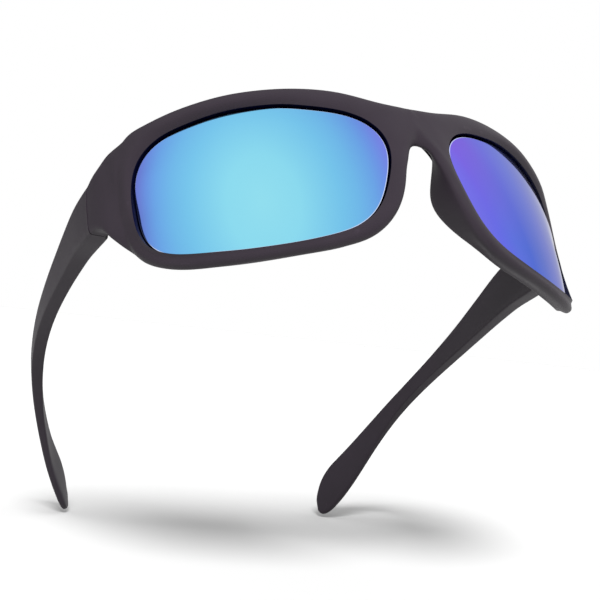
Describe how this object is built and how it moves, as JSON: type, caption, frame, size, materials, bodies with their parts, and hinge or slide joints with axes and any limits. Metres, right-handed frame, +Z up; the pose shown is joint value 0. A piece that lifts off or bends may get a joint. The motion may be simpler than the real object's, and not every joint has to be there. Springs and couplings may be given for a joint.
{
  "type": "wraparound sport sunglasses",
  "caption": "Wraparound sport sunglasses: a moulded wrap frame with nose pads moulded in, curved mirror lenses, and temples that fold inwards on metal hinges.",
  "frame": {"origin": "centre of the bounding box in plan, at the surface that the open glasses rest on", "axes": "+X to the wearer's left, +Y from the lenses back along the temples, +Z up; the lower rims and the temple tips rest on z = 0"},
  "size_m": [0.1358, 0.1576, 0.0464],
  "materials": {
    "frame": "soft-touch matte charcoal",
    "temple": "soft-touch matte charcoal",
    "lens": "ice-blue mirror coating on dark polycarbonate",
    "hinge_steel": "plain nickel silver"
  },
  "bodies": {
    "front": {"front_frame": "frame", "lens_left": "lens", "hinge_front_leaf_left": "hinge_steel", "hinge_screw_left": "hinge_steel", "lens_right": "lens", "hinge_front_leaf_right": "hinge_steel", "hinge_screw_right": "hinge_steel"},
    "right_temple": {"temple_right": "temple", "hinge_temple_leaf_right": "hinge_steel"},
    "left_temple": {"temple_left": "temple", "hinge_temple_leaf_left": "hinge_steel"}
  },
  "joints": [
    {"name": "right_temple_fold", "type": "hinge", "parent": "front", "child": "right_temple", "pos_m": [-0.06205, -0.03369, 0.03078], "axis": [0, 0.0358, -0.9994], "range_deg": [0, 90]},
    {"name": "left_temple_fold", "type": "hinge", "parent": "front", "child": "left_temple", "pos_m": [0.06205, -0.03369, 0.03078], "axis": [0, -0.0358, 0.9994], "range_deg": [0, 82]}
  ]
}
